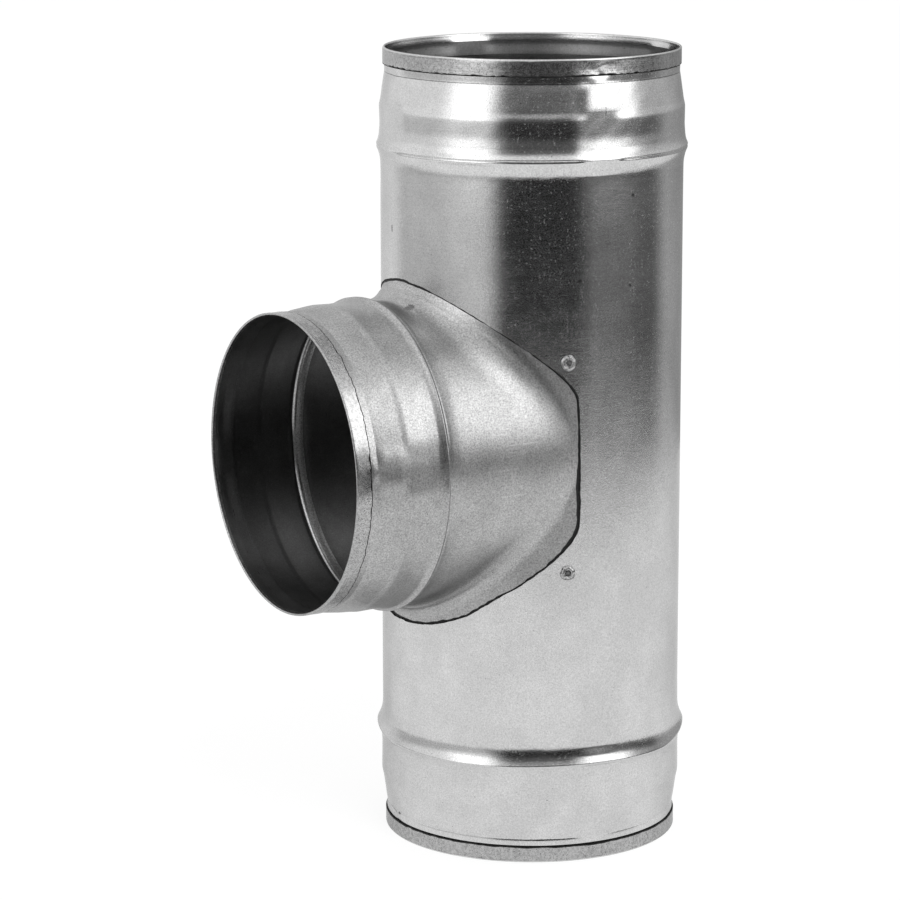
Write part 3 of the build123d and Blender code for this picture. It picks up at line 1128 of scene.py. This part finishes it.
def studio_wall():
    """Cards and softboxes round the table. Only glossy rays see them, as bands on the metal."""
    turn = np.linspace(0, 2 * math.pi, WALL_COLUMNS, endpoint=False)
    rings = [turned_about_z(WALL_RADIUS, turn, 0 * turn + z) / MM for z in (0.0, WALL_HEIGHT)]
    sheet = Sheet()
    sheet.grid(np.stack(rings), turned=True)
    material = bpy.data.materials.new("studio_cards")
    nodes = Nodes(material)
    coordinates = nodes.add("ShaderNodeTexCoord").outputs["Object"]
    split = nodes.add("ShaderNodeSeparateXYZ", {0: coordinates})
    swing = -CAMERA_TURN
    across = nodes.math(
        "ADD",
        nodes.math("MULTIPLY", split.outputs["X"], math.sin(swing)),
        nodes.math("MULTIPLY", split.outputs["Y"], math.cos(swing)),
    )
    ahead = nodes.math(
        "SUBTRACT",
        nodes.math("MULTIPLY", split.outputs["X"], math.cos(swing)),
        nodes.math("MULTIPLY", split.outputs["Y"], math.sin(swing)),
    )
    side = nodes.math("MULTIPLY", nodes.math("ARCTAN2", across, ahead), 180 / math.pi)
    height = split.outputs["Z"]

    def card(start, end, soft):
        """1 between two directions, counted from the camera's, to the right in the photograph."""
        opened = nodes.window(side, start - soft, start + soft)
        return nodes.math("MULTIPLY", opened, nodes.window(side, end + soft, end - soft))

    lifted = nodes.window(height, *CEILING)

    def level(rise, low, high, top):
        """Brightness of a card by height."""
        raised = nodes.window(height, rise, rise + CARD_RISE)
        lower = nodes.math("MULTIPLY_ADD", raised, high - low, low)
        return nodes.math("MULTIPLY_ADD", lifted, top - high, lower)

    total = None
    for start, end, soft, rise, low, high, top in CARDS:
        part = nodes.math("MULTIPLY", card(start, end, soft), level(rise, low, high, top))
        total = part if total is None else nodes.math("ADD", total, part)
    glow = nodes.add("ShaderNodeEmission", {"Strength": total})
    nodes.surface(glow)
    wall = sheet.build("studio_wall", [material])
    wall.visible_camera = False
    wall.visible_diffuse = False
    wall.visible_transmission = False
    wall.visible_shadow = False
    wall.visible_volume_scatter = False


def lamp(name, place, size, power):
    """A round softbox, aimed at the middle of the part. The metal doesn't mirror it."""
    data = bpy.data.lights.new(name, "AREA")
    data.shape = "DISK"
    data.size = size
    data.energy = power
    light = bpy.data.objects.new(name, data)
    light.location = place
    target = Vector((0, 0, BRANCH_HEIGHT * MM))
    light.rotation_mode = "QUATERNION"
    light.rotation_quaternion = (target - Vector(place)).to_track_quat("-Z", "Y")
    light.visible_glossy = False
    bpy.context.scene.collection.objects.link(light)


pipe_metal = galvanised(
    "galvanised_pipe", "z", light=0.64, dark=0.56, gloss=0.17, grain=0.024, mottle=0.30,
    marks_and_shade=PIPE_MARKS_AND_CREASE_SHADE,
)
# The collar's sheet is darker than the pipe's: painted shade for the dimmer floor near the part that it
# mirrors.
shaded_collar_metal = galvanised(
    "galvanised_shaded_collar", "x", light=0.46, dark=0.38, gloss=0.31, grain=0.045, mottle=0.70,
    marks_and_shade=COLLAR_MARKS,
)
# The bores are darker copies of the sheet: painted shade for the dim insides.
shaded_pipe_bore = galvanised(
    "galvanised_shaded_pipe_bore", "z", light=0.28, dark=0.21, gloss=0.36, grain=0.016, mottle=0.3
)
shaded_collar_bore = galvanised(
    "galvanised_shaded_collar_bore", "x", light=0.18, dark=0.13, gloss=0.42, grain=0.016, mottle=0.3
)
pipe_hem = pressed_hem("pressed_pipe_hem", "z")
collar_hem = pressed_hem("pressed_collar_hem", "x")
# Near black: painted shade on cut faces and in gaps.
edge_shade_metal = cut_edge_painted_shade("cut_edge_painted_shade")
head_metal = rivet_metal("rivet_head", level=0.55, gloss=0.16, dirt=0.16)
# Very dark: partly the mandrel's steel, partly painted shade in the crater.
stub_metal_and_crater_shade = rivet_metal("rivet_stub_and_crater_shade", level=0.2, gloss=0.3, dirt=0.04)

pipe_sheet([pipe_metal, pipe_hem, edge_shade_metal, shaded_pipe_bore])
collar_sheet([shaded_collar_metal, collar_hem, edge_shade_metal, shaded_collar_bore])
for count, node in enumerate(sorted(n for n in frame["nodes"] if n.startswith("rivet"))):
    rivet(node, FIRST_RIVET_SEED + 3 * count, [head_metal, stub_metal_and_crater_shade])

camera()
floor()
world()
studio_wall()
lamp("key_lamp", place=(0.3, 2.2, 2.4), size=1.6, power=28)
bpy.context.scene.view_settings.view_transform = "Standard"
